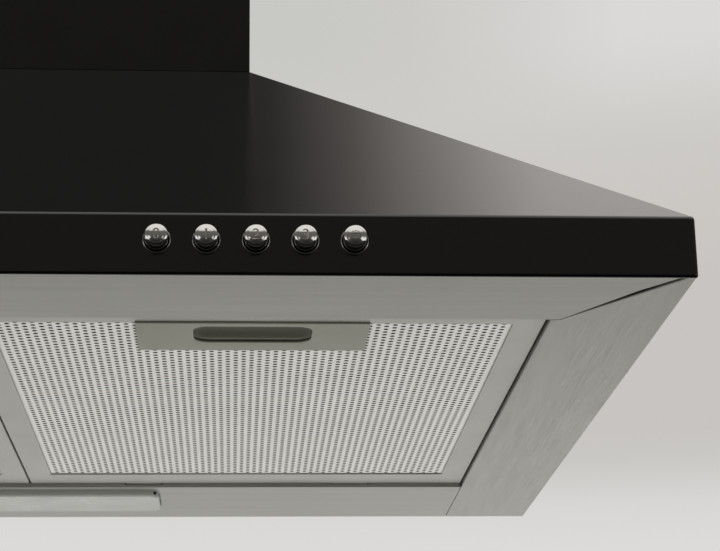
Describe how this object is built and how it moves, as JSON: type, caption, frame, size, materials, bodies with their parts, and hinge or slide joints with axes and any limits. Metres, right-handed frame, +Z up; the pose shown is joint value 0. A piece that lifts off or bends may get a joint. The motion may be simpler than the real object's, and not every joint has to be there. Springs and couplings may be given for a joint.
{
  "type": "chimney range hood",
  "caption": "Wall chimney range hood: gloss black pyramid canopy with push buttons, brushed steel underside, hinged grease filters, lamp, blower and telescopic chimney.",
  "frame": {"origin": "on the wall plane, at the hood's centre, level with the lower edge of the black canopy", "axes": "+Z up, +Y into the wall (the front faces -Y), +X to the viewer's right when facing the hood"},
  "size_m": [0.6, 0.5075, 0.636],
  "materials": {
    "black_enamel": "gloss black vitreous enamel",
    "black_paint": "black powder coat, fine texture",
    "brushed_trim": "brushed, lengthwise grain",
    "bulb_glass": "frosted",
    "button_chrome": "polished",
    "dark_plastic": "moulded",
    "filter_aluminium": "satin aluminium",
    "galvanised": "galvanised, spangled",
    "grey_plastic": "moulded",
    "latch_metal": "satin",
    "lead_sheath": "soft PVC",
    "milky_plastic": "translucent moulded",
    "screw_steel": "zinc plated",
    "spring_steel": "bright wire",
    "white_plastic": "moulded"
  },
  "bodies": {
    "hood": {"canopy_shell": "black_enamel", "back_plate": "galvanised", "front_trim": "brushed_trim", "right_side_trim": "brushed_trim", "left_side_trim": "brushed_trim", "lamp_panel": "brushed_trim", "lamp_lens": "milky_plastic", "lamp_reflector": "filter_aluminium", "lamp_holder": "white_plastic", "lamp_bulb": "bulb_glass", "button_springs": "spring_steel", "button_bezels": "button_chrome", "switch_housing": "dark_plastic", "right_scroll_case": "grey_plastic", "left_scroll_case": "grey_plastic", "blower_deck": "galvanised", "motor": "galvanised", "motor_bracket": "galvanised", "capacitor": "white_plastic", "duct_collar": "dark_plastic", "flap_pin": "screw_steel", "lower_chimney": "black_paint", "terminal_box": "white_plastic", "terminal_cover": "white_plastic", "cable_gland": "dark_plastic", "wiring_leads": "lead_sheath", "deck_screws": "screw_steel", "chimney_screws": "screw_steel"},
    "right_filter": {"right_filter_frame": "filter_aluminium", "right_filter_lower_grid": "filter_aluminium", "right_filter_core": "filter_aluminium", "right_filter_upper_grid": "filter_aluminium", "right_latch_plate": "latch_metal", "right_latch_spring": "spring_steel"},
    "left_filter": {"left_filter_frame": "filter_aluminium", "left_filter_lower_grid": "filter_aluminium", "left_filter_core": "filter_aluminium", "left_filter_upper_grid": "filter_aluminium", "left_latch_plate": "latch_metal", "left_latch_spring": "spring_steel"},
    "right_latch": {"right_latch_slide": "latch_metal"},
    "left_latch": {"left_latch_slide": "latch_metal"},
    "impeller": {"impeller": "dark_plastic", "motor_shaft": "screw_steel"},
    "right_flap": {"right_flap": "dark_plastic"},
    "left_flap": {"left_flap": "dark_plastic"},
    "upper_chimney": {"upper_chimney": "black_paint", "chimney_bracket": "galvanised"},
    "fan_off_button": {"fan_off_button": "button_chrome"},
    "fan_low_button": {"fan_low_button": "button_chrome"},
    "fan_medium_button": {"fan_medium_button": "button_chrome"},
    "fan_high_button": {"fan_high_button": "button_chrome"},
    "light_button": {"light_button": "button_chrome"}
  },
  "joints": [
    {"name": "fan_off_press", "type": "slide", "parent": "hood", "child": "fan_off_button", "axis": [0, 1, 0], "range_m": [0, 0.0035], "stiffness_N_per_m": 400, "deforming": ["button_springs"]},
    {"name": "fan_low_press", "type": "slide", "parent": "hood", "child": "fan_low_button", "axis": [0, 1, 0], "range_m": [0, 0.0035], "stiffness_N_per_m": 400, "deforming": ["button_springs"]},
    {"name": "fan_medium_press", "type": "slide", "parent": "hood", "child": "fan_medium_button", "axis": [0, 1, 0], "range_m": [0, 0.0035], "stiffness_N_per_m": 400, "deforming": ["button_springs"]},
    {"name": "fan_high_press", "type": "slide", "parent": "hood", "child": "fan_high_button", "axis": [0, 1, 0], "range_m": [0, 0.0035], "stiffness_N_per_m": 400, "deforming": ["button_springs"]},
    {"name": "light_press", "type": "slide", "parent": "hood", "child": "light_button", "axis": [0, 1, 0], "range_m": [0, 0.0035], "stiffness_N_per_m": 400, "deforming": ["button_springs"]},
    {"name": "right_filter_swing", "type": "hinge", "parent": "hood", "child": "right_filter", "pos_m": [0.12535, -0.0924, 0.0036], "axis": [1, 0, 0], "range_deg": [0, 50]},
    {"name": "right_latch_travel", "type": "slide", "parent": "right_filter", "child": "right_latch", "axis": [0, 1, 0], "range_m": [-0.004, 0], "stiffness_N_per_m": 300, "springref_m": -0.004, "deforming": ["right_latch_spring"]},
    {"name": "left_filter_swing", "type": "hinge", "parent": "hood", "child": "left_filter", "pos_m": [-0.12535, -0.0924, 0.0036], "axis": [1, 0, 0], "range_deg": [0, 50]},
    {"name": "left_latch_travel", "type": "slide", "parent": "left_filter", "child": "left_latch", "axis": [0, 1, 0], "range_m": [-0.004, 0], "stiffness_N_per_m": 300, "springref_m": -0.004, "deforming": ["left_latch_spring"]},
    {"name": "impeller_spin", "type": "hinge", "parent": "hood", "child": "impeller", "pos_m": [0, -0.126, 0.118], "axis": [1, 0, 0], "continuous": true},
    {"name": "right_flap_swing", "type": "hinge", "parent": "hood", "child": "right_flap", "pos_m": [0, -0.126, 0.2248], "axis": [0, -1, 0], "range_deg": [0, 75]},
    {"name": "left_flap_swing", "type": "hinge", "parent": "hood", "child": "left_flap", "pos_m": [0, -0.126, 0.2248], "axis": [0, 1, 0], "range_deg": [0, 75]},
    {"name": "upper_chimney_slide", "type": "slide", "parent": "hood", "child": "upper_chimney", "axis": [0, 0, 1], "range_m": [0, 0.26]}
  ]
}
